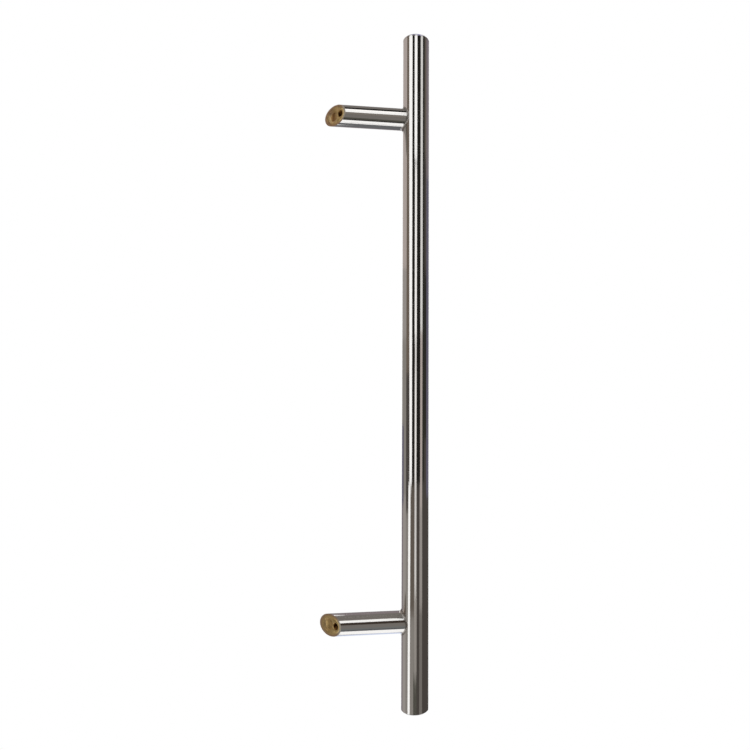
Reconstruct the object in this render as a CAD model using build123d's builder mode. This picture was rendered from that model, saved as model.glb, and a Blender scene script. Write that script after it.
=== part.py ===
from build123d import *

import os
from math import cos, radians, sin, tan

# Offset door pull handle: a stainless grip bar on two welded posts cranked at 45 degrees.
# The plane y = 0 is the door's face, and the handle stands off it towards -Y. +Z runs up the grip bar.
# The origin is halfway between the two fixing holes, on the door's face. Sizes are in millimetres.

# Grip bar, a drawn stainless tube
bar_length = 800.0          # over the end caps
bar_diameter = 32.0
bar_wall = 1.5
bar_standoff = 69.0         # from the door's face out to the bar's axis

# Posts, two shorter tubes
hole_centres = 600.0        # from one fixing hole to the other, along the bar
post_diameter = 25.0
post_wall = 2.0
post_angle = 45.0           # between a post and the door's face

# Fillet welds round the posts' saddles, ground and polished into the posts
weld_radius = 3.0

# End caps, turned from stainless bar
cap_thickness = 3.0
cap_edge = 0.8              # bevel round the outer rim
cap_spigot_depth = 9.0
cap_spigot_lead = 0.8
cap_clearance = 0.05        # all round the spigot, in the bar's bore

# Fixing inserts, brass plugs bonded into the posts
insert_clearance = 0.05     # all round the plug, in the post's bore
insert_length = 34.0        # from the middle of the mitred face to the square inner end
insert_lead = 1.0
thread_core_diameter = 6.8  # the tapping drill of an M8 thread
thread_depth = 16.0
thread_mouth_diameter = 8.4
thread_mouth_angle = 120.0
drill_point_angle = 118.0
thread_offset = 8.5         # from the middle of the mitred face to the hole, towards the bar
relief_diameter = 15.0      # a shallow round recess in the face, beside the hole
relief_floor_diameter = 11.0
relief_depth = 2.0
relief_offset = 4.0         # from the middle of the mitred face, away from the bar

# Values that follow from the sizes above
bar_radius = bar_diameter / 2
bar_bore_radius = bar_radius - bar_wall
tube_length = bar_length - 2 * cap_thickness
post_radius = post_diameter / 2
post_bore_radius = post_radius - post_wall
post_slope = radians(post_angle)
post_direction = Vector(-cos(post_slope), -sin(post_slope), 0)
post_run = bar_standoff / sin(post_slope)
face_x = thread_offset      # where a post's axis meets the door's face
bar_x = face_x - bar_standoff / tan(post_slope)
mitre_allowance = post_diameter / tan(post_slope)
core_radius = thread_core_diameter / 2
drill_point = core_radius / tan(radians(drill_point_angle / 2))


def bar_plane(height, up=1):
    """A plane square to the bar, on its axis at this height, that looks up, or down where up is -1."""
    return Plane(origin=(bar_x, -bar_standoff, height), x_dir=post_direction, z_dir=(0, 0, up))


def post_plane(height):
    """A plane square to a post, in the middle of its mitred face, that looks towards the bar."""
    return Plane(origin=(face_x, 0, height), x_dir=(0, 0, 1), z_dir=post_direction)


def face_plane(x, height):
    """A plane on the post's mitred face, that looks into the door."""
    return Plane(origin=(x, 0, height), x_dir=(1, 0, 0), z_dir=(0, 1, 0))


os.makedirs("parts", exist_ok=True)

# Grip bar: one length of tube, its ends cut square
with BuildPart() as grip_tube:
    with BuildSketch(bar_plane(-tube_length / 2)):
        Circle(bar_radius)
        Circle(bar_bore_radius, mode=Mode.SUBTRACT)
    extrude(amount=tube_length)

grip_tube.part.label = "grip_tube"
export_step(grip_tube.part, "parts/grip_tube.step")

for end, side in (("upper", 1), ("lower", -1)):
    post_height = side * hole_centres / 2

    # End cap: a disc as wide as the bar with a bevelled rim, on a spigot that enters the bore
    tube_end = bar_plane(side * tube_length / 2, up=side)
    cap_axis = Axis(tube_end.origin, tube_end.z_dir)
    with BuildPart() as end_cap:
        with BuildSketch(tube_end):
            Circle(bar_radius)
        extrude(amount=cap_thickness)
        chamfer(end_cap.edges().sort_by(cap_axis)[-1], length=cap_edge)
        with BuildSketch(tube_end):
            Circle(bar_bore_radius - cap_clearance)
        extrude(amount=-cap_spigot_depth)
        chamfer(end_cap.edges().sort_by(cap_axis)[0], length=cap_spigot_lead)

    end_cap.part.label = f"{end}_end_cap"
    export_step(end_cap.part, f"parts/{end}_end_cap.step")

    # Post: a tube coped to sit on the bar with its weld, bored, and mitred to lie flat on the door
    with BuildPart() as post_tube:
        with BuildSketch(bar_plane(post_height)) as bar_section:
            Circle(bar_radius)
        extrude(amount=post_diameter, both=True)
        with BuildSketch(post_plane(post_height).offset(-mitre_allowance)):
            Circle(post_radius)
        extrude(amount=mitre_allowance + post_run)
        fillet(post_tube.edges(Select.NEW), radius=weld_radius)
        with BuildSketch(post_plane(post_height).offset(-mitre_allowance)):
            Circle(post_bore_radius)
        extrude(amount=mitre_allowance + post_run, mode=Mode.SUBTRACT)
        extrude(bar_section.sketch, amount=post_diameter, both=True, mode=Mode.SUBTRACT)
        split(bisect_by=Plane.XZ, keep=Keep.TOP)

    post_tube.part.label = f"{end}_post_tube"
    export_step(post_tube.part, f"parts/{end}_post_tube.step")

    # Fixing insert: a plug cut flush with the mitre, drilled and tapped square to the door
    post_axis = Axis((face_x, 0, post_height), post_direction)
    with BuildPart() as fixing_insert:
        with BuildSketch(post_plane(post_height).offset(-mitre_allowance)):
            Circle(post_bore_radius - insert_clearance)
        extrude(amount=mitre_allowance + insert_length)
        chamfer(fixing_insert.edges().sort_by(post_axis)[-1], length=insert_lead)
        split(bisect_by=Plane.XZ, keep=Keep.TOP)
        with Locations(face_plane(0, post_height)):
            CounterSinkHole(core_radius, thread_mouth_diameter / 2, thread_depth, thread_mouth_angle)
        with Locations(face_plane(0, post_height).offset(-thread_depth - drill_point / 2)):
            Cone(0, core_radius, drill_point, mode=Mode.SUBTRACT)
        with Locations(face_plane(face_x + relief_offset, post_height).offset(-relief_depth / 2)):
            Cone(relief_floor_diameter / 2, relief_diameter / 2, relief_depth, mode=Mode.SUBTRACT)

    fixing_insert.part.label = f"{end}_fixing_insert"
    export_step(fixing_insert.part, f"parts/{end}_fixing_insert.step")
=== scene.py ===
# %% [markdown]
# An offset door pull handle. A long polished stainless bar stands off a door on two short posts that
# are cranked at 45 degrees. Each post ends in a mitred foot with a brass insert, and a bolt through the
# door screws into the tapped hole in that insert. This lesson dresses the solids that come from the CAD
# model: they keep their shape and place, and Blender gives them finish, light and a camera.

from math import cos, pi, radians, sin, tan

import bmesh
import bpy
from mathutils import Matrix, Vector


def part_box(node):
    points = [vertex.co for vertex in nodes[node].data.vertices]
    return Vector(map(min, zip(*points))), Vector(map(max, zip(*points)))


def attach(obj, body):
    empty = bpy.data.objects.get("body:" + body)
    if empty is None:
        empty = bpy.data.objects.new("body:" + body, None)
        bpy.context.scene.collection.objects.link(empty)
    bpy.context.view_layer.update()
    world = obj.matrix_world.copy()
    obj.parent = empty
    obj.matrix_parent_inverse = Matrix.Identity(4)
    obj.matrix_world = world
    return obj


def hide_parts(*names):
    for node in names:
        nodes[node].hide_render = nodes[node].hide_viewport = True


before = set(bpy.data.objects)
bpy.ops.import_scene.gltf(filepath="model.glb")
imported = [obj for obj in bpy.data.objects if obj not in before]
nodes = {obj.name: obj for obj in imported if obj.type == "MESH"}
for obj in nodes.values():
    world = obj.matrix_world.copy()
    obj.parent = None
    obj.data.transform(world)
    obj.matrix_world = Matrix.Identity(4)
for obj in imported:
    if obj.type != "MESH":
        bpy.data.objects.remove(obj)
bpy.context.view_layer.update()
MM = 0.001

print("pieces:", ", ".join(sorted(nodes)))

# %% [markdown]
# Sizes that the looks need are read from the model itself, so that they follow it. The bar's axis is
# the middle of its box, and the two feet lie on the door's face, the plane y = 0. Seen from above, the
# posts run at 45 degrees from the bar to the door.

# %% Read the sizes
bar_low, bar_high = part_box("grip_tube")
bar_axis = (bar_low + bar_high) / 2
bar_radius = (bar_high.x - bar_low.x) / 2
insert_low, insert_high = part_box("upper_fixing_insert")
hole_height = (insert_low.z + insert_high.z) / 2
POST_ANGLE = radians(45)
along_post = Vector((cos(POST_ANGLE), sin(POST_ANGLE), 0))
across_post = Vector((-sin(POST_ANGLE), cos(POST_ANGLE), 0))

print(f"bar {2 * bar_radius / MM:.1f} mm across, axis at {bar_axis.x / MM:.1f}, {bar_axis.y / MM:.1f} mm")
print(f"holes {2 * hole_height / MM:.0f} mm apart")

# %% [markdown]
# Three small helpers do all the material work. One turns a colour as a designer writes it, in sRGB hex,
# into the linear numbers that a renderer adds up. One adds a single node to a material: what it is
# given for an input is either a plain value or the output of another node, and then it is plugged in.
# The third starts a material with nothing in it.


# %% Colour and node helpers
def linear(code):
    """A linear RGBA colour from an sRGB hex code such as 'd6d1cb'."""
    parts = [int(code[k:k + 2], 16) / 255 for k in (0, 2, 4)]
    return [p / 12.92 if p <= 0.04045 else ((p + 0.055) / 1.055) ** 2.4 for p in parts] + [1.0]


def add(tree, kind, inputs=None, **settings):
    """Add a node of this kind to a tree, with its settings, values and links, and return it."""
    made = tree.nodes.new(kind)
    for name, value in settings.items():
        setattr(made, name, value)
    for name, value in (inputs or {}).items():
        if isinstance(value, bpy.types.NodeSocket):
            tree.links.new(value, made.inputs[name])
        else:
            made.inputs[name].default_value = value
    return made


def empty_material(name):
    """A material with nothing in it but an output node, and that node."""
    material = bpy.data.materials.new(name)
    material.use_nodes = True
    material.node_tree.nodes.clear()
    return material, add(material.node_tree, "ShaderNodeOutputMaterial")


print("steel grey in linear light:", [round(x, 3) for x in linear("d6d1cb")])

# %% [markdown]
# The camera looks at the back of the handle, from the door's side and a little below its middle, as a
# buyer would hold it to see the fixings. Its place and lens come from the photograph's perspective: the
# bar narrows upwards and the two posts converge. A small sideways shift stands for the picture's crop.

# %% Camera
PICTURE_SIZE = 750
FOCAL_PIXELS = 613.5
PRINCIPAL_X = 440.0
CAMERA_AT = Vector((-0.5285, 0.4953, -0.0503))
CAMERA_AZIMUTH = radians(217.38)
CAMERA_TILT = radians(-3.04)

camera_data = bpy.data.cameras.new("camera")
camera_data.sensor_width = 36.0
camera_data.lens = FOCAL_PIXELS * camera_data.sensor_width / PICTURE_SIZE
camera_data.shift_x = (PICTURE_SIZE / 2 - PRINCIPAL_X) / PICTURE_SIZE
camera = bpy.data.objects.new("camera", camera_data)
backwards = Vector((sin(CAMERA_AZIMUTH) * cos(CAMERA_TILT), -cos(CAMERA_AZIMUTH) * cos(CAMERA_TILT),
                    sin(CAMERA_TILT)))
camera.location = CAMERA_AT
camera.rotation_euler = (-backwards).to_track_quat("-Z", "Y").to_euler()
bpy.context.scene.collection.objects.link(camera)
bpy.context.scene.camera = camera

print(f"lens {camera_data.lens:.2f} mm, shift {camera_data.shift_x:.3f}")

# %% [markdown]
# The bar is grade 304 stainless tube, drawn and then polished with a belt that runs round it. The belt
# leaves lines round the tube that are finer than a picture can show, so they are drawn about 0.5 mm
# apart here. They are shallow, so a reflection stays sharp across the bar and only its ends along the
# bar go soft.
#
# The lines could be an image wrapped round the tube. A noise that changes along one direction only does
# the same with no seam, and the same few nodes serve the posts, whose lines run round their own slanted
# axis. Such a noise has to know where a point lies, so the first helpers measure that.


# %% Places on a piece
def place(tree):
    """The point being shaded, in metres in the model's own frame."""
    return add(tree, "ShaderNodeTexCoord").outputs["Object"]


def distance_along(tree, direction):
    """How far along this direction the point lies, in metres."""
    along = add(tree, "ShaderNodeVectorMath", {0: place(tree), 1: direction}, operation="DOT_PRODUCT")
    return along.outputs["Value"]


def distance_from_axis(tree, middle, keep):
    """How far the point lies from an axis through this middle. Keep is 0 along the axis and 1 across it."""
    moved = add(tree, "ShaderNodeVectorMath", {0: place(tree), 1: middle}, operation="SUBTRACT")
    flat = add(tree, "ShaderNodeVectorMath", {0: moved.outputs["Vector"], 1: keep}, operation="MULTIPLY")
    reach = add(tree, "ShaderNodeVectorMath", {0: flat.outputs["Vector"]}, operation="LENGTH")
    return reach.outputs["Value"]


def fade(tree, value, start, end, low=0.0, high=1.0):
    """A smooth change from low, where the value is at start, to high, where it is at end."""
    change = add(tree, "ShaderNodeMapRange",
                 {"Value": value, "From Min": start, "From Max": end, "To Min": low, "To Max": high},
                 interpolation_type="SMOOTHSTEP")
    return change.outputs["Result"]


def product(tree, first, second):
    """Two numbers or sockets multiplied. Of two conditions, it is 1 where both hold."""
    return add(tree, "ShaderNodeMath", {0: first, 1: second}, operation="MULTIPLY").outputs["Value"]


print(f"the bar's axis lies {bar_axis.length / MM:.1f} mm from the origin")

# %% [markdown]
# Two kinds of noise go over the metals. Soft patches in the roughness stand for the touch of hands and
# cloths. Fine lines in the relief stand for the tool, and they drift a little along their way, because
# no belt runs quite true.

# %% Patches and lines
POLISH_LINE_MM = 0.5
DRIFT_MM = 9.0
CLOUD_MM = 18.0
CLOUD_THRESHOLDS = (0.35, 0.7)


def clouds(tree, size_mm, detail=3.0):
    """Soft patches of about this size, between 0 and 1."""
    patches = add(tree, "ShaderNodeTexNoise",
                  {"Vector": place(tree), "Scale": 1 / (size_mm * MM), "Detail": detail})
    return patches.outputs["Fac"]


def clouded_roughness(tree, low, high):
    """A roughness between low and high in soft patches, from the touch of hands and cloths."""
    return fade(tree, clouds(tree, CLOUD_MM), *CLOUD_THRESHOLDS, low, high)


def tool_lines(tree, distance, spacing_mm):
    """Fine parallel lines as a belt or a cutter leaves them, a little uneven, between 0 and 1."""
    count = product(tree, distance, 1 / (spacing_mm * MM))
    drifted = add(tree, "ShaderNodeMath", {0: clouds(tree, DRIFT_MM, 1.0), 1: count}, operation="ADD")
    lines = add(tree, "ShaderNodeTexNoise", {"W": drifted.outputs["Value"], "Scale": 1.0, "Detail": 2.0},
                noise_dimensions="1D")
    return lines.outputs["Fac"]


print("polish lines per metre:", round(1 / (POLISH_LINE_MM * MM)))

# %% [markdown]
# A metal is a Principled shader with metallic at 1, and its base colour is what it reflects when looked
# at squarely. A Bump node turns the lines into a relief of a known depth, and a Bevel node under it can
# shade a sharp edge as if it were round.

# %% Metal
STEEL_COLOUR = "e2dfdb"
BEVEL_SAMPLES = 8


def mixed(tree, amount, first, second):
    """A number or socket that goes from the first to the second with the amount."""
    return add(tree, "ShaderNodeMix", {0: amount, 2: first, 3: second}).outputs[0]


def mixed_colour(tree, amount, first, second):
    """A colour that goes from the first to the second with the amount."""
    return add(tree, "ShaderNodeMix", {0: amount, 6: first, 7: second}, data_type="RGBA").outputs[2]


def finish_with(material, output, colour, roughness, height, depth_mm, edge=None):
    """Close a metal: a Principled shader with this colour and roughness over a relief of this depth.

    Edge is a radius in metres, and sharp edges look rounded by about so much.
    """
    tree = material.node_tree
    relief = add(tree, "ShaderNodeBump", {"Height": height, "Distance": depth_mm * MM, "Strength": 1.0})
    if edge:
        rounded = add(tree, "ShaderNodeBevel", {"Radius": edge}, samples=BEVEL_SAMPLES)
        tree.links.new(rounded.outputs["Normal"], relief.inputs["Normal"])
    metal = add(tree, "ShaderNodeBsdfPrincipled",
                {"Base Color": colour, "Metallic": 1.0, "Roughness": roughness,
                 "Normal": relief.outputs["Normal"]})
    tree.links.new(metal.outputs["BSDF"], output.inputs["Surface"])
    return material


def dress(name, material):
    """Give a piece of the model its finish."""
    nodes[name].data.materials.clear()
    nodes[name].data.materials.append(material)


print("steel reflects", [round(x, 2) for x in linear(STEEL_COLOUR)[:3]], "of red, green and blue")

# %% [markdown]
# The first piece to dress is the bar itself. Its roughness is that of a bright polish that has been
# touched, and its lines are the shallowest on the handle.

# %% Grip bar
POLISHED_ROUGHNESS = (0.065, 0.1)
POLISH_DEPTH_MM = 0.0004

grip_steel, grip_output = empty_material("belt_polished_stainless_tube")
grip_tree = grip_steel.node_tree
finish_with(grip_steel, grip_output, linear(STEEL_COLOUR),
            clouded_roughness(grip_tree, *POLISHED_ROUGHNESS),
            tool_lines(grip_tree, distance_along(grip_tree, (0, 0, 1)), POLISH_LINE_MM), POLISH_DEPTH_MM)
dress("grip_tube", grip_steel)

print("grip bar:", grip_steel.name, "with", len(grip_tree.nodes), "nodes")

# %% [markdown]
# The end caps are turned from stainless bar, pressed into the tube and polished over with it. A lathe
# tool moves across the face while the cap spins, so its lines are circles round the bar's axis. They
# are drawn 0.4 mm apart, where the real ones are about a quarter of that. The face is duller than the
# tube's side.
#
# The polishing wheel has run over the upper cap's rim and left it softer than a cut bevel. A Bevel node
# shades the rim as if it were rounded, with no new geometry. Its radius grows from nothing at the joint
# with the tube, so that the joint stays flush. Modelling the round would do as well, but from any usual
# distance only the way it catches the light shows.

# %% End caps
TURNING_LINE_MM = 0.4
TURNING_DEPTH_MM = 0.0012
CAP_FACE_ROUGHNESS = (0.17, 0.24)
CAP_SIDE_ROUGHNESS = 0.085
CAP_SIDE_MM = (0.6, 0.1)
WORN_RIM_MM = 3.0
WORN_WITHIN_MM = 0.7

cap_steel, cap_output = empty_material("turned_stainless_cap")
cap_tree = cap_steel.node_tree
from_bar_axis = distance_from_axis(cap_tree, bar_axis, (1, 1, 0))
on_side = fade(cap_tree, from_bar_axis, bar_radius - CAP_SIDE_MM[0] * MM, bar_radius - CAP_SIDE_MM[1] * MM)
face_roughness = clouded_roughness(cap_tree, *CAP_FACE_ROUGHNESS)
cap_roughness = mixed(cap_tree, on_side, face_roughness, CAP_SIDE_ROUGHNESS)
worn_rim = fade(cap_tree, distance_along(cap_tree, (0, 0, 1)), bar_high.z, bar_high.z + WORN_WITHIN_MM * MM,
                0.0, WORN_RIM_MM * MM)
finish_with(cap_steel, cap_output, linear(STEEL_COLOUR), cap_roughness,
            tool_lines(cap_tree, from_bar_axis, TURNING_LINE_MM), TURNING_DEPTH_MM, worn_rim)
for cap_name in ("upper_end_cap", "lower_end_cap"):
    dress(cap_name, cap_steel)

print("end caps:", cap_steel.name, "with", len(cap_tree.nodes), "nodes")

# %% [markdown]
# Each post is a shorter tube, coped to sit on the bar and welded to it all round. The weld is ground to
# a small fillet and polished by hand. A hand tool doesn't reach into the tightest corner, so the last
# two millimetres before the bar are duller and darker, with coarser marks. At the other end the tube
# and the brass in it are linished flat together in one cut at 45 degrees. That cut edge is matt, and its
# warmer tint, browner towards the mitre's tip, is a painted reflection of brown surroundings. A linishing
# belt's lines are about 0.1 mm apart, and they are drawn at 0.45 mm so that they show.
#
# One material does the three zones. It asks each point how far it is from the bar's axis, and whether
# it lies on the door's face, and mixes roughness and colour by that.

# %% Posts
POST_WAY = (-cos(POST_ANGLE), -sin(POST_ANGLE), 0)
POST_RELIEF_MM = 0.0012
WELD_ZONE_MM = (0.6, 2.2)
WELD_COLOUR = "a8a29b"
WELD_ROUGHNESS = 0.42
HAND_MARK_MM = 1.1
FACE_DEPTH_MM = 0.03
# The cut edge's warm tint and its browner one are a painted reflection of brown surroundings.
CUT_EDGE_COLOUR = "dcd6c4"
EDGE_REFLECTION_BROWN = "c4a585"
EDGE_REFLECTION_MM = (-7.0, -1.0)
CUT_EDGE_ROUGHNESS = 0.34
LINISHING_WAY = (0.5, 0, 0.866)
LINISHING_LINE_MM = 0.45

post_steel, post_output = empty_material("polished_stainless_post_with_ground_weld")
post_tree = post_steel.node_tree
off_bar = distance_from_axis(post_tree, bar_axis, (1, 1, 0))
at_weld = fade(post_tree, off_bar, bar_radius + WELD_ZONE_MM[1] * MM, bar_radius + WELD_ZONE_MM[0] * MM)
on_face = add(post_tree, "ShaderNodeMath",
              {0: distance_along(post_tree, (0, 1, 0)), 1: -FACE_DEPTH_MM * MM},
              operation="GREATER_THAN").outputs["Value"]

polished_roughness = clouded_roughness(post_tree, *POLISHED_ROUGHNESS)
side_roughness = mixed(post_tree, at_weld, polished_roughness, WELD_ROUGHNESS)
side_colour = mixed_colour(post_tree, at_weld, linear(STEEL_COLOUR), linear(WELD_COLOUR))
# Painted reflection: the cut edge turns browner towards the mitre's tip.
edge_reflection = fade(post_tree, distance_along(post_tree, (1, 0, 0)), EDGE_REFLECTION_MM[0] * MM, EDGE_REFLECTION_MM[1] * MM)
edge_colour = mixed_colour(post_tree, edge_reflection, linear(CUT_EDGE_COLOUR), linear(EDGE_REFLECTION_BROWN))

polish_lines = tool_lines(post_tree, distance_along(post_tree, POST_WAY), POLISH_LINE_MM)
side_relief = mixed(post_tree, at_weld, polish_lines, clouds(post_tree, HAND_MARK_MM, 2.0))
cut_lines = tool_lines(post_tree, distance_along(post_tree, LINISHING_WAY), LINISHING_LINE_MM)

finish_with(post_steel, post_output, mixed_colour(post_tree, on_face, side_colour, edge_colour),
            mixed(post_tree, on_face, side_roughness, CUT_EDGE_ROUGHNESS),
            mixed(post_tree, on_face, side_relief, cut_lines), POST_RELIEF_MM)
for post_name in ("upper_post_tube", "lower_post_tube"):
    dress(post_name, post_steel)

print("posts:", post_steel.name, "with", len(post_tree.nodes), "nodes")

# %% [markdown]
# The inserts are brass plugs with an M8 hole. The CAD model has the hole at the size of the tapping
# drill, and the thread is cut here: a ridge with the thread's profile is wound round the hole's axis
# and taken away from the plug with a Boolean, as a tap does it. The thread could be a picture of lines,
# but close to, the hole's edge shows the first turn, and only real geometry gives that. The pitch of M8
# is 1.25 mm.

# %% Thread cutter
THREAD_PITCH = 1.25 * MM
THREAD_TOP = 4.0 * MM
THREAD_ROOT = 3.2 * MM
THREAD_RUN = 14.0 * MM
THREAD_TURN_STEPS = 36
ROOT_HALF_WIDTH = 0.5 * MM
TOP_HALF_WIDTH = 0.09 * MM


def thread_ridge(height):
    """A closed ridge that winds into the door-side face round the hole at this height."""
    profile = [(THREAD_ROOT, -ROOT_HALF_WIDTH), (THREAD_TOP, -TOP_HALF_WIDTH), (THREAD_TOP, TOP_HALF_WIDTH),
               (THREAD_ROOT, ROOT_HALF_WIDTH)]
    steps = round((THREAD_RUN / THREAD_PITCH + 1) * THREAD_TURN_STEPS)
    points = []
    for step in range(steps + 1):
        turn = 2 * pi * step / THREAD_TURN_STEPS
        depth = THREAD_PITCH - step * THREAD_PITCH / THREAD_TURN_STEPS
        points += [(radius * cos(turn), depth + shift, height + radius * sin(turn))
                   for radius, shift in profile]
    count = len(profile)
    faces = [tuple(range(count)), tuple(steps * count + k for k in reversed(range(count)))]
    faces += [(s * count + k, (s + 1) * count + k,
               (s + 1) * count + (k + 1) % count, s * count + (k + 1) % count)
              for s in range(steps) for k in range(count)]
    mesh = bpy.data.meshes.new("thread_ridge")
    mesh.from_pydata(points, [], faces)
    form = bmesh.new()
    form.from_mesh(mesh)
    bmesh.ops.recalc_face_normals(form, faces=form.faces)
    form.to_mesh(mesh)
    form.free()
    ridge = bpy.data.objects.new("thread_ridge", mesh)
    bpy.context.scene.collection.objects.link(ridge)
    return ridge


print(f"thread {2 * THREAD_TOP / MM:.0f} mm across, {THREAD_RUN / THREAD_PITCH:.1f} turns deep")

# %% [markdown]
# Each CAD insert stays as it is and is copied. The copy's faces are first joined along their seams,
# since a Boolean needs a closed form, and after the cut its sharp edges are marked again. The tapped
# copy then stands in for the CAD node.

# %% Tap the inserts
SEAM_GAP = 0.001 * MM
CREASE_ANGLE = radians(32)


def tapped_insert(end, height):
    """The insert of this end with its thread cut, in place of the CAD node."""
    source = nodes[f"{end}_fixing_insert"]
    plug = bpy.data.objects.new(f"{end}_tapped_insert", source.data.copy())
    bpy.context.scene.collection.objects.link(plug)
    form = bmesh.new()
    form.from_mesh(plug.data)
    bmesh.ops.remove_doubles(form, verts=form.verts, dist=SEAM_GAP)
    bmesh.ops.recalc_face_normals(form, faces=form.faces)
    form.to_mesh(plug.data)
    open_edges = sum(1 for edge in form.edges if not edge.is_manifold)
    form.free()
    ridge = thread_ridge(height)
    cut = plug.modifiers.new("tap", "BOOLEAN")
    cut.operation = "DIFFERENCE"
    cut.solver = "EXACT"
    cut.object = ridge
    bpy.context.view_layer.update()
    tapped = bpy.data.meshes.new_from_object(plug.evaluated_get(bpy.context.evaluated_depsgraph_get()))
    plug.modifiers.clear()
    plug.data = tapped
    bpy.data.objects.remove(ridge)
    for polygon in tapped.polygons:
        polygon.use_smooth = True
    tapped.set_sharp_from_angle(angle=CREASE_ANGLE)
    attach(plug, "root")
    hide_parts(f"{end}_fixing_insert")
    print(f"{plug.name}: {open_edges} open edges before, {len(tapped.polygons)} faces after the thread")
    return plug


upper_insert = tapped_insert("upper", hole_height)
lower_insert = tapped_insert("lower", -hole_height)

# %% [markdown]
# The brass's linished face is a dull gold. Painted shade browns it in patches towards the tip of the
# mitre, and darker painted shade lies on the floor of the shallow recess, most towards the tip. The
# recess's sloping wall is duller, and browner towards the tip by painted shade, with a painted highlight
# on one side. Inside the hole the thread is painted a darker brown, as painted shade. All of this depends
# on where a point lies on the plug, so the material measures distances from the recess and from the hole.

# %% Brass
RECESS_AT = 12.5 * MM
RECESS_WALL = (5.4 * MM, 7.7 * MM)
FLOOR_BLEND = 0.3 * MM
WALL_BLEND = 0.2 * MM
HOLE_EDGE = 4.25 * MM
HOLE_BLEND = 0.25 * MM
BELOW_FACE = (-0.05 * MM, -0.35 * MM)
# The next three spans place painted shade towards the tip and on the recess floor, and a painted highlight
# on the wall.
TIP_SHADE_SPAN = (6 * MM, 21 * MM)
FLOOR_SHADE_SPAN = (7 * MM, 12.5 * MM)
HIGHLIGHT_SPAN = (-2 * MM, 3 * MM)
PATCH_MM = 5.0
# Thresholds of the patches of painted shade towards the tip, then of the duller patches.
TIP_SHADE_PATCHES = (0.3, 0.62)
DULL_PATCHES = (0.3, 0.7)
BRASS_ROUGHNESS = (0.32, 0.44)
WALL_ROUGHNESS = 0.62
LINISHING_DEPTH_MM = 0.004
# Gold is the brass's own colour. The next one is a painted highlight, and the last three are painted shade.
BRASS_GOLD = "d2b67c"
BRASS_HIGHLIGHT = "fde3b0"
BRASS_SHADE_BROWN = "a8866c"
BRASS_FLOOR_SHADE = "9a7448"
BRASS_HOLE_SHADE = "8c6030"


def linished_brass(name, height, painted_light_amount, highlight_way):
    """The brass of one insert. The amount, from 0 to 1, is how strong its painted shade and
    painted highlight are.
    The recess's wall has a painted highlight on the side that lies this way from its middle.
    """
    material, output = empty_material(name)
    tree = material.node_tree
    along_door = distance_along(tree, (1, 0, 0))
    from_recess = distance_from_axis(tree, (RECESS_AT, 0, height), (1, 0, 1))
    from_hole = distance_from_axis(tree, (0, 0, height), (1, 0, 1))
    patches = clouds(tree, PATCH_MM, 4.0)

    # Painted shade: browner in patches towards the mitre's tip.
    tip_shade = product(tree, fade(tree, along_door, *TIP_SHADE_SPAN), painted_light_amount)
    patchy_tip_shade = product(tree, tip_shade, fade(tree, patches, *TIP_SHADE_PATCHES))
    face = mixed_colour(tree, patchy_tip_shade, linear(BRASS_GOLD), linear(BRASS_SHADE_BROWN))

    # Painted shade on the recess's floor, darker towards the tip.
    floor_shade = product(tree, fade(tree, along_door, *FLOOR_SHADE_SPAN), painted_light_amount)
    floor_tone = mixed_colour(tree, floor_shade, linear(BRASS_GOLD), linear(BRASS_FLOOR_SHADE))
    on_floor = fade(tree, from_recess, RECESS_WALL[0] + FLOOR_BLEND, RECESS_WALL[0] - FLOOR_BLEND)
    face = mixed_colour(tree, on_floor, face, floor_tone)

    past_floor = fade(tree, from_recess, RECESS_WALL[0], RECESS_WALL[0] + WALL_BLEND)
    within_rim = fade(tree, from_recess, RECESS_WALL[1], RECESS_WALL[1] - WALL_BLEND)
    on_wall = product(tree, past_floor, within_rim)
    # A painted highlight on one side of the recess's wall.
    recess_place = highlight_way[0] * RECESS_AT + highlight_way[2] * height
    wall_highlight = fade(tree, distance_along(tree, highlight_way),
                       recess_place + HIGHLIGHT_SPAN[0], recess_place + HIGHLIGHT_SPAN[1])
    # The wall's tone, with painted shade towards the tip.
    shaded_wall = mixed_colour(tree, tip_shade, linear(BRASS_GOLD), linear(BRASS_SHADE_BROWN))
    wall_tone = mixed_colour(tree, product(tree, wall_highlight, painted_light_amount), shaded_wall, linear(BRASS_HIGHLIGHT))
    face = mixed_colour(tree, on_wall, face, wall_tone)

    # Painted shade inside the hole.
    near_hole = fade(tree, from_hole, HOLE_EDGE, HOLE_EDGE - HOLE_BLEND)
    in_hole = product(tree, near_hole, fade(tree, distance_along(tree, (0, 1, 0)), *BELOW_FACE))
    colour = mixed_colour(tree, in_hole, face, linear(BRASS_HOLE_SHADE))
    roughness = mixed(tree, on_wall, fade(tree, patches, *DULL_PATCHES, *BRASS_ROUGHNESS), WALL_ROUGHNESS)
    lines = tool_lines(tree, distance_along(tree, LINISHING_WAY), LINISHING_LINE_MM)
    return finish_with(material, output, colour, roughness, lines, LINISHING_DEPTH_MM)


# Each plug's second number is how strong its painted shade and highlight are, and the third is the way its
# painted highlight lies.
for plug, plug_height, plug_painted_light, plug_highlight_way in (
        (upper_insert, hole_height, 1.0, (0.6, 0, -0.8)),
        (lower_insert, -hole_height, 0.35, (0.64, 0, 0.77))):
    brass = linished_brass(f"{plug.name}_linished_brass", plug_height, plug_painted_light, plug_highlight_way)
    plug.data.materials.clear()
    plug.data.materials.append(brass)
    print(f"{brass.name}: {len(brass.node_tree.nodes)} nodes")

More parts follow.
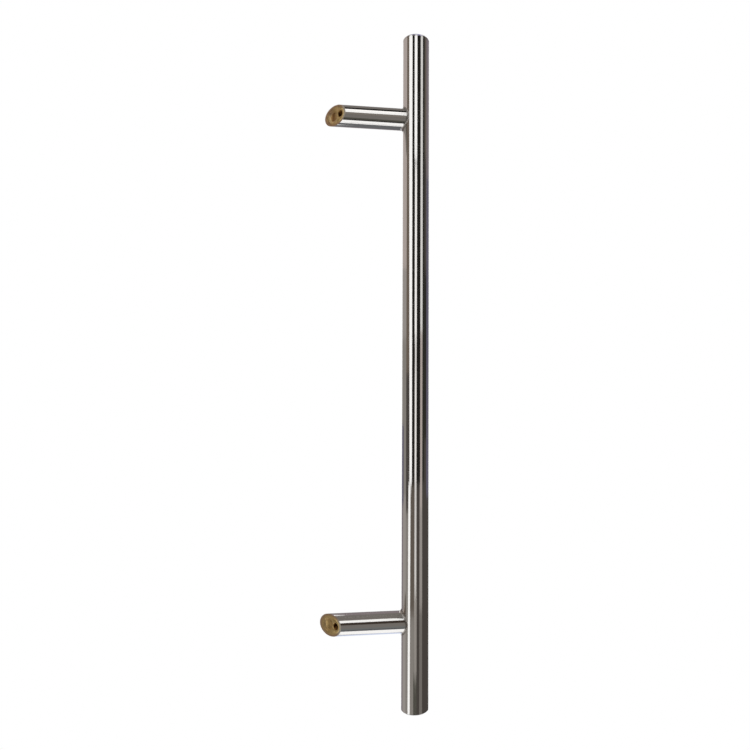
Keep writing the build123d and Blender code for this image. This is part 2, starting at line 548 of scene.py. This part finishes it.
# %% [markdown]
# Polished steel has hardly any look of its own: it shows the room. A product photographer therefore
# builds the reflections, with softboxes for the white lines, black flags for the dark ones that draw a
# cylinder, and grey cards between them. Here each card is a patch of a large sphere round the handle
# that glows evenly, and each stands a little nearer than the one before it, so that it covers it. The
# cards light the handle and show in it, but the camera doesn't see them, so the white background stays
# plain from every side. One picture of a room on the world would do too, but then no card could be
# moved on its own.
#
# A card says which tone it gives to the steel, between which azimuths it stands at its lower and its
# upper edge, counted from +X towards +Y, and how high it reaches, as angles above the horizon.

# %% Studio tones
STUDIO_RADIUS = 3.0
CARD_SPACING = 0.02
CARD_STEP = 4.0
BRIGHTEST_GLOW = 1.5
CARD_TONES = {
    "white": "f7f5f2", "pale": "cfcdc9", "silver": "a69b95", "stone": "918b86", "grey": "817c76",
    "rose": "7b7172", "mauve": "736a6e", "ash": "6e6964", "cocoa": "64594f", "slate": "626263",
    "dusk": "5c5866", "taupe": "5c544c", "bark": "4b4942", "umber": "45403c", "peat": "38302a",
    "soot": "2c2a26", "black": "1d1b18",
}


def seen_in_steel(code):
    """The colour that a card must glow with to look like this hex code in the steel."""
    shares = zip(linear(code)[:3], linear(STEEL_COLOUR))
    return [min(BRIGHTEST_GLOW, wanted / given) for wanted, given in shares] + [1.0]


print("a white card glows at", [round(x, 2) for x in seen_in_steel(CARD_TONES["white"])[:3]])

# %% [markdown]
# From +X the list goes about once round the handle. What stands on the way to the camera shows in the
# bar's left half, from its edge inwards: grey walls, a brown edge, a tall softbox and a dark gap. The
# cards past the camera show in its right half: a black flag, a pale wall, dark curtains and a mauve
# wall. The last few stand on the user's side, and show mostly when the handle is seen from there.

# %% Studio cards
CARDS = (
    ("tent", "stone", (0, 360), (0, 360), (-90, 90)),
    ("ceiling", "ash", (0, 360), (0, 360), (57, 90)),
    ("left_wall_high", "silver", (-34, 46), (-34, 46), (15, 57)),
    ("left_wall_upper", "stone", (-34, 46), (-34, 46), (7, 15)),
    ("left_wall_middle", "grey", (-34, 46), (-34, 46), (-11, 7)),
    ("left_wall_low", "stone", (-34, 46), (-34, 46), (-58, -11)),
    ("left_far_wall", "dusk", (-34, 12), (-34, 12), (-12, -3)),
    ("left_far_foot", "mauve", (-34, 2), (-34, 2), (-58, -12)),
    ("brown_edge_high", "cocoa", (44, 76), (44, 70), (3, 57)),
    ("brown_edge_middle", "umber", (44, 80), (44, 80), (-13, 3)),
    ("brown_edge_low", "grey", (44, 72), (44, 72), (-58, -13)),
    ("dark_gap", "black", (98, 122), (94, 122), (-10, 57)),
    ("dark_gap_low", "taupe", (84, 122), (84, 122), (-24, -10)),
    ("dark_gap_lowest", "grey", (84, 128), (84, 128), (-46, -24)),
    ("strip_grey", "ash", (121, 146), (121, 146), (-30, 3)),
    ("strip_brown", "peat", (121, 146), (121, 146), (3, 27)),
    ("strip_low", "bark", (116, 146), (116, 146), (-46, -30)),
    ("strip_softbox", "white", (117.5, 140.5), (117.5, 140.5), (27, 51.5)),
    ("table_edge", "soot", (84, 170), (84, 170), (-60, -46)),
    ("tall_softbox", "white", (80, 101), (66, 97), (-10, 40)),
    ("tall_softbox_top", "white", (66, 97), (62, 95), (40, 57)),
    ("low_softbox", "white", (64, 83), (70, 89), (-58, -10)),
    ("black_flag", "black", (140, 171), (140.5, 171), (-10, 57)),
    ("black_flag_low", "umber", (145, 166), (143, 167), (-58, -10)),
    ("pale_wall_high", "pale", (171, 192), (171, 192), (8, 57)),
    ("pale_wall_middle", "silver", (171, 188), (171, 192), (-13, 8)),
    ("pale_wall_low", "stone", (170, 190), (170, 190), (-24, -13)),
    ("pale_wall_foot", "ash", (166, 196), (167, 194), (-58, -24)),
    ("dark_curtain_high", "soot", (191, 216), (191, 212), (-10, 57)),
    ("dark_curtain_low", "umber", (193, 216), (191, 216), (-58, -10)),
    ("brown_curtain_high", "taupe", (212, 234), (212, 230), (28, 57)),
    ("brown_curtain_upper", "umber", (212, 236), (212, 234), (15, 28)),
    ("brown_curtain_middle", "soot", (212, 236), (212, 236), (-5, 15)),
    ("brown_curtain_low", "umber", (214, 238), (212, 236), (-58, -5)),
    ("mauve_wall_high", "mauve", (236, 285), (228, 285), (26, 57)),
    ("mauve_wall_middle", "dusk", (236, 285), (236, 285), (-12, 26)),
    ("mauve_wall_low", "umber", (236, 285), (236, 285), (-58, -12)),
    ("front_softbox", "white", (284, 299), (284, 299), (-50, 57)),
    ("front_flag", "soot", (299, 307), (299, 307), (-50, 57)),
    ("front_wall", "rose", (307, 321), (307, 321), (-5, 57)),
    ("front_wall_low", "slate", (290, 340), (307, 321), (-77, -5)),
    ("front_strip", "white", (321, 328), (321, 328), (-50, 57)),
)

print(len(CARDS), "cards in", len(CARD_TONES), "tones")

# %% [markdown]
# Each row of the list becomes a mesh of small four-sided faces on its own sphere. The azimuths at the
# lower and at the upper edge may differ, and then the card's sides lean. Its material is an Emission
# shader, which glows evenly and takes no light from the other cards. A card isn't part of the handle.


# %% Hang the cards
def card_mesh(name, low_azimuths, high_azimuths, heights, radius):
    """A patch of a sphere between two elevations, whose sides may lean."""
    columns = max(1, round((low_azimuths[1] - low_azimuths[0]) / CARD_STEP))
    rows = max(1, round((heights[1] - heights[0]) / CARD_STEP))
    points = []
    for row in range(rows + 1):
        share = row / rows
        lift = radians(heights[0] + (heights[1] - heights[0]) * share)
        ring = radius * cos(lift)
        left, right = (low + (high - low) * share for low, high in zip(low_azimuths, high_azimuths))
        for column in range(columns + 1):
            turn = radians(left + (right - left) * column / columns)
            points.append((ring * cos(turn), ring * sin(turn), radius * sin(lift)))
    width = columns + 1
    faces = [(r * width + c, (r + 1) * width + c, (r + 1) * width + c + 1, r * width + c + 1)
             for r in range(rows) for c in range(columns)]
    mesh = bpy.data.meshes.new(name)
    mesh.from_pydata(points, [], faces)
    return mesh


def glowing_card(tone):
    """Cloth or board of this tone that glows evenly."""
    material, output = empty_material(f"glowing_{tone}_card")
    glow = add(material.node_tree, "ShaderNodeEmission",
               {"Color": seen_in_steel(CARD_TONES[tone]), "Strength": 1.0})
    material.node_tree.links.new(glow.outputs["Emission"], output.inputs["Surface"])
    return material


def hang(name, mesh, tone, middle):
    """Put a card of this tone in the studio, where only the camera doesn't see it."""
    mesh.materials.append(card_materials[tone])
    card = bpy.data.objects.new(name, mesh)
    card.location = middle
    card.visible_camera = False
    bpy.context.scene.collection.objects.link(card)
    return card


card_materials = {tone: glowing_card(tone) for tone in CARD_TONES}
for order, (card_name, card_tone, low_sides, high_sides, card_heights) in enumerate(CARDS):
    card_radius = STUDIO_RADIUS - CARD_SPACING * order
    patch = card_mesh(card_name, low_sides, high_sides, card_heights, card_radius)
    hang(card_name, patch, card_tone, bar_axis)

print(f"spheres of {STUDIO_RADIUS:.2f} m down to {card_radius:.2f} m radius")

# %% [markdown]
# A thin black line runs along the top of the upper post, and the lower one has none. A far flag would
# show in both, so this one is a narrow strip close above the upper post, where the lower post sees
# hardly any of it. A lamp in a later cell makes up for the rest.

# %% Flag over the upper post
FLAG_HEIGHT = 0.25
FLAG_LENGTH = (-0.02, 0.11)
FLAG_REACH = (0.053, 0.156)

flag_corners = [along_post * FLAG_LENGTH[i] + across_post * FLAG_REACH[j]
                for i, j in ((0, 0), (1, 0), (1, 1), (0, 1))]
flag_mesh = bpy.data.meshes.new("flag_over_upper_post")
flag_mesh.from_pydata(flag_corners, [], [(0, 1, 2, 3)])
over_post = Vector((bar_axis.x, bar_axis.y, hole_height + FLAG_HEIGHT))
flag = hang("flag_over_upper_post", flag_mesh, "black", over_post)
flag.visible_diffuse = False
flag.visible_shadow = False

print(f"flag {(FLAG_REACH[1] - FLAG_REACH[0]) / MM:.0f} mm wide, {FLAG_HEIGHT / MM:.0f} mm above the post")

# %% [markdown]
# The underside of a post shows the brightest white of all, from something pale far below the handle.
# Here it is a round card that shows in reflections only: it casts no shadow and lights nothing, so the
# floor, which stands nearer and is left out of the reflections, stays as it is.

# %% White card below
UNDER_DEPTH = 2.6
UNDER_RADIUS = 1.06
UNDER_SHIFT = 0.38
UNDER_SIDES = 64


def round_card(name, radius, middle, material):
    """A flat round card that lies level, with its middle here."""
    rim = [(radius * cos(2 * pi * k / UNDER_SIDES), radius * sin(2 * pi * k / UNDER_SIDES), 0)
           for k in range(UNDER_SIDES)]
    mesh = bpy.data.meshes.new(name)
    mesh.from_pydata(rim, [], [list(range(UNDER_SIDES))])
    mesh.materials.append(material)
    disc = bpy.data.objects.new(name, mesh)
    disc.location = middle
    bpy.context.scene.collection.objects.link(disc)
    return disc


under_middle = bar_axis + across_post * UNDER_SHIFT - Vector((0, 0, UNDER_DEPTH))
under_card = round_card("white_card_below", UNDER_RADIUS, under_middle, card_materials["white"])
under_card.visible_camera = False
under_card.visible_diffuse = False
under_card.visible_shadow = False

print(f"white card {2 * UNDER_RADIUS:.2f} m across, {UNDER_DEPTH} m below the middle")

# %% [markdown]
# The bar shows a white line down its middle where the posts show a plain grey. One room can't give
# both, so the white comes from strip lamps that are linked to the bar and its caps: they light and show
# in those only. A studio does it with a second exposure.
#
# In a reflection a lamp adds its light to what shows behind it. It can therefore only brighten, and its
# tone is what is missing there, not what is seen. The lamp's power follows from its size: a flat lamp
# that gives pi watts for each square metre is as bright as a surface of strength 1.

# %% Lamp helpers
LAMP_DISTANCE = 2.3
LAMP_TONES = {
    "high": "eae8e5", "middle": "cfcdca", "low": "b2b0ae", "foot": "605c58", "post_side": "68645f",
    "post_top": "f7f5f2", "lilac": "9c99c4", "lavender": "b0b7cb", "slate_lift": "4b4d50",
    "flag_lift": "6a655f",
}


def linked_lamp(name, receivers, tone, middle, facing, size):
    """A flat lamp of this size that only these pieces receive. It stands at a point and looks this way."""
    light = bpy.data.lights.new(name, "AREA")
    light.shape = "RECTANGLE"
    light.size, light.size_y = size
    light.color = seen_in_steel(LAMP_TONES[tone])[:3]
    light.energy = pi * size[0] * size[1]
    lamp = bpy.data.objects.new(name, light)
    lamp.location = middle
    lamp.rotation_euler = facing.to_track_quat("-Z", "Y").to_euler()
    lamp.visible_camera = False
    bpy.context.scene.collection.objects.link(lamp)
    group = bpy.data.collections.new(f"{name}_receivers")
    for receiver in receivers:
        group.objects.link(receiver)
    lamp.light_linking.receiver_collection = group
    return lamp


def upright_strip(name, receivers, tone, azimuths, heights, distance=LAMP_DISTANCE):
    """A linked lamp that stands upright between two azimuths, from one height to another."""
    middle = radians(sum(azimuths) / 2)
    outwards = Vector((cos(middle), sin(middle), 0))
    size = (2 * distance * tan(radians(azimuths[1] - azimuths[0]) / 2), heights[1] - heights[0])
    centre = bar_axis + outwards * distance + Vector((0, 0, sum(heights) / 2))
    return linked_lamp(name, receivers, tone, centre, -outwards, size)


def aimed_strip(name, receivers, tone, azimuths, elevations, focus, distance):
    """A linked lamp that spans these azimuths and elevations, as seen from a point on the handle."""
    turn, lift = radians(sum(azimuths) / 2), radians(sum(elevations) / 2)
    outwards = Vector((cos(lift) * cos(turn), cos(lift) * sin(turn), sin(lift)))
    size = (2 * distance * cos(lift) * tan(radians(azimuths[1] - azimuths[0]) / 2),
            2 * distance * tan(radians(elevations[1] - elevations[0]) / 2))
    return linked_lamp(name, receivers, tone, focus + outwards * distance, -outwards, size)


print("the bar's upper strip glows at", [round(x, 2) for x in seen_in_steel(LAMP_TONES["high"])[:3]])

# %% [markdown]
# The bar's line is whitest at the top, so three strips of falling brightness stand over each other.
# Other lamps lift the bar's foot, the side and the top of the upper post and, with a cool tint, the rim
# of the upper cap. Three more serve the lower post alone: one tints its lower edge, one makes the band
# over its white underside slate grey, and one, which lies close under the black flag and is turned like
# it, fills the line in which the lower post would see that flag.

# %% Linked lamps
POST_TOP_DISTANCE = 1.2
SLATE_DISTANCE = 1.1
UNDER_POST = Vector((0.75, -0.75, -1.1))
OVER_BAR = Vector((-0.5, 0.5, 1.5))
FILL_BELOW_FLAG = 0.01

bar_pieces = [nodes[name] for name in ("grip_tube", "upper_end_cap", "lower_end_cap")]
upper_cap = [nodes["upper_end_cap"]]
upper_post = [nodes["upper_post_tube"]]
lower_post = [nodes["lower_post_tube"]]
lower_joint = Vector((bar_axis.x, bar_axis.y, -hole_height))
up = Vector((0, 0, 1))

flag_middle = over_post + along_post * sum(FLAG_LENGTH) / 2 + across_post * sum(FLAG_REACH) / 2
flag_size = (FLAG_LENGTH[1] - FLAG_LENGTH[0], FLAG_REACH[1] - FLAG_REACH[0])
flag_fill = linked_lamp("flag_fill", lower_post, "flag_lift",
                        flag_middle - up * FILL_BELOW_FLAG, -up, flag_size)
flag_fill.rotation_euler = (0, 0, POST_ANGLE)

linked_lamps = [
    upright_strip("bar_strip_high", bar_pieces, "high", (121.8, 139.5), (0.3, 1.16)),
    upright_strip("bar_strip", bar_pieces, "middle", (124.5, 138.5), (-0.4, 0.3)),
    upright_strip("bar_strip_low", bar_pieces, "low", (124.5, 139.5), (-0.95, -0.4)),
    upright_strip("bar_foot_strip", bar_pieces, "foot", (122, 143), (-2.2, -0.95)),
    upright_strip("upper_post_strip", upper_post, "post_side", (117, 145), (0.19, 1.2)),
    upright_strip("upper_post_top_strip", upper_post, "post_top", (119, 146), (1.61, 2.16),
                  POST_TOP_DISTANCE),
    aimed_strip("lower_post_slate_strip", lower_post, "slate_lift", (108, 153), (-60, -24),
                lower_joint, SLATE_DISTANCE),
    linked_lamp("lower_post_lamp", lower_post, "lavender", bar_axis + UNDER_POST, up, (1.2, 1.2)),
    linked_lamp("upper_cap_lamp", upper_cap, "lilac", bar_axis + OVER_BAR, -up, (1.6, 1.6)),
    flag_fill,
]

for lamp in linked_lamps:
    print(f"{lamp.name}: {lamp.data.size:.2f} by {lamp.data.size_y:.2f} m, {lamp.data.energy:.2f} W")

# %% [markdown]
# The floor is a pale plain one, at the depth below the handle that it has when the pull hangs on a
# door. It catches a soft shadow. It also glows, but only to rays that look at it: the Light Path node
# tells such rays from the ones that light a surface, so the glow lights nothing. The steel doesn't
# reflect the floor, since the white card far below gives the posts their underside.

# %% Floor
FLOOR_DEPTH = 1.4
FLOOR_RADIUS = 0.7
FLOOR_WHITE = "f4f4f2"
FLOOR_TOP_UP = 0.7


def seen_directly(tree):
    """1 for rays from the camera, a mirror or glass, and 0 for the rays that light a surface."""
    path = add(tree, "ShaderNodeLightPath")
    seen = path.outputs["Is Camera Ray"]
    for kind in ("Is Glossy Ray", "Is Transmission Ray"):
        either = add(tree, "ShaderNodeMath", {0: seen, 1: path.outputs[kind]}, operation="MAXIMUM")
        seen = either.outputs["Value"]
    return seen


floor_material, floor_output = empty_material("matt_white_floor_paint")
floor_tree = floor_material.node_tree
paint = add(floor_tree, "ShaderNodeBsdfDiffuse", {"Color": linear(FLOOR_WHITE)})
top_up = add(floor_tree, "ShaderNodeEmission", {"Color": linear("ffffff"), "Strength": FLOOR_TOP_UP})
lit = add(floor_tree, "ShaderNodeAddShader", {0: paint.outputs["BSDF"], 1: top_up.outputs["Emission"]})
floor_choice = add(floor_tree, "ShaderNodeMixShader",
                   {0: seen_directly(floor_tree), 1: paint.outputs["BSDF"], 2: lit.outputs["Shader"]})
floor_tree.links.new(floor_choice.outputs["Shader"], floor_output.inputs["Surface"])
floor = round_card("floor", FLOOR_RADIUS, (bar_axis.x, bar_axis.y, -FLOOR_DEPTH), floor_material)
floor.visible_glossy = False

print(f"floor {FLOOR_DEPTH} m below the handle's middle")

# %% [markdown]
# The background is white only to the camera, a mirror or glass. Rays that light a surface meet a plain
# grey level instead, so that a white background doesn't mean more light on the handle.

# %% Background
PLAIN_LEVEL = 0.55

world = bpy.data.worlds.new("white_background")
world.use_nodes = True
world_tree = world.node_tree
world_tree.nodes.clear()
plain = add(world_tree, "ShaderNodeBackground", {"Color": linear("ffffff"), "Strength": PLAIN_LEVEL})
white = add(world_tree, "ShaderNodeBackground", {"Color": linear("ffffff"), "Strength": 1.0})
backdrop = add(world_tree, "ShaderNodeMixShader",
               {0: seen_directly(world_tree), 1: plain.outputs["Background"],
                2: white.outputs["Background"]})
add(world_tree, "ShaderNodeOutputWorld", {"Surface": backdrop.outputs["Shader"]})
bpy.context.scene.world = world
bpy.context.scene.view_settings.view_transform = "Standard"

print("background: strength 1 where it is looked at,", PLAIN_LEVEL, "where it lights a surface")
